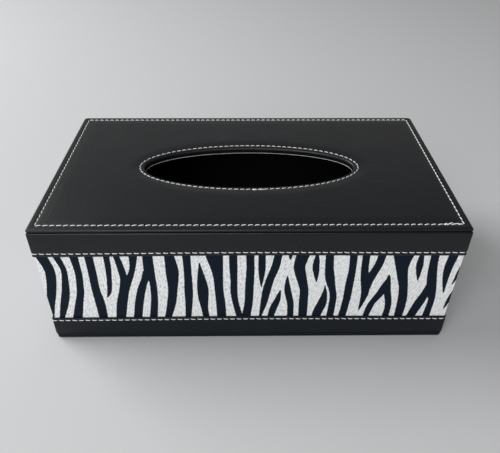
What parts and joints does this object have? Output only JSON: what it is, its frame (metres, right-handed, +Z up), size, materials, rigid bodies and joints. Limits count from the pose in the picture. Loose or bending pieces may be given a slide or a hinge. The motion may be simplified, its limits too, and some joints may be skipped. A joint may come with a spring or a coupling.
{
  "type": "tissue box cover",
  "caption": "Rectangular leatherette tissue box cover with an oval mouth in its stitched top, a zebra print band round its walls and a hinged base flap.",
  "frame": {"origin": "middle of the base flap's underside", "axes": "+X along the length, -Y towards the front, +Z up"},
  "size_m": [0.2506, 0.1428, 0.0883],
  "materials": {
    "black_leatherette": "soft sheen, fine grain",
    "print_leatherette": "printed zebra stripes, satin, fine grain",
    "white_thread": "twisted polyester thread",
    "black_lining": "short-nap flannel on a pale backing",
    "fibreboard": "raw",
    "foam": "thin open-cell foam sheet",
    "magnet_nickel": "nickel plated"
  },
  "bodies": {
    "box": {"top_board": "fibreboard", "front_board": "fibreboard", "back_board": "fibreboard", "left_board": "fibreboard", "right_board": "fibreboard", "top_foam": "foam", "top_cover": "black_leatherette", "upper_band": "black_leatherette", "print_band": "print_leatherette", "lower_band": "black_leatherette", "top_seam_thread": "white_thread", "mouth_seam_thread": "white_thread", "upper_seam_thread": "white_thread", "lower_seam_thread": "white_thread", "top_lining": "black_lining", "front_lining": "black_lining", "back_lining": "black_lining", "left_lining": "black_lining", "right_lining": "black_lining", "wall_magnets": "magnet_nickel", "hinge_strip": "black_leatherette"},
    "base_flap": {"base_board": "fibreboard", "base_cover": "black_leatherette", "base_lining": "black_lining", "flap_magnets": "magnet_nickel"}
  },
  "joints": [
    {"name": "base_flap_hinge", "type": "hinge", "parent": "box", "child": "base_flap", "pos_m": [0, 0.071, 0.0034], "axis": [1, 0, 0], "range_deg": [0, 170], "deforming": ["hinge_strip"]}
  ]
}
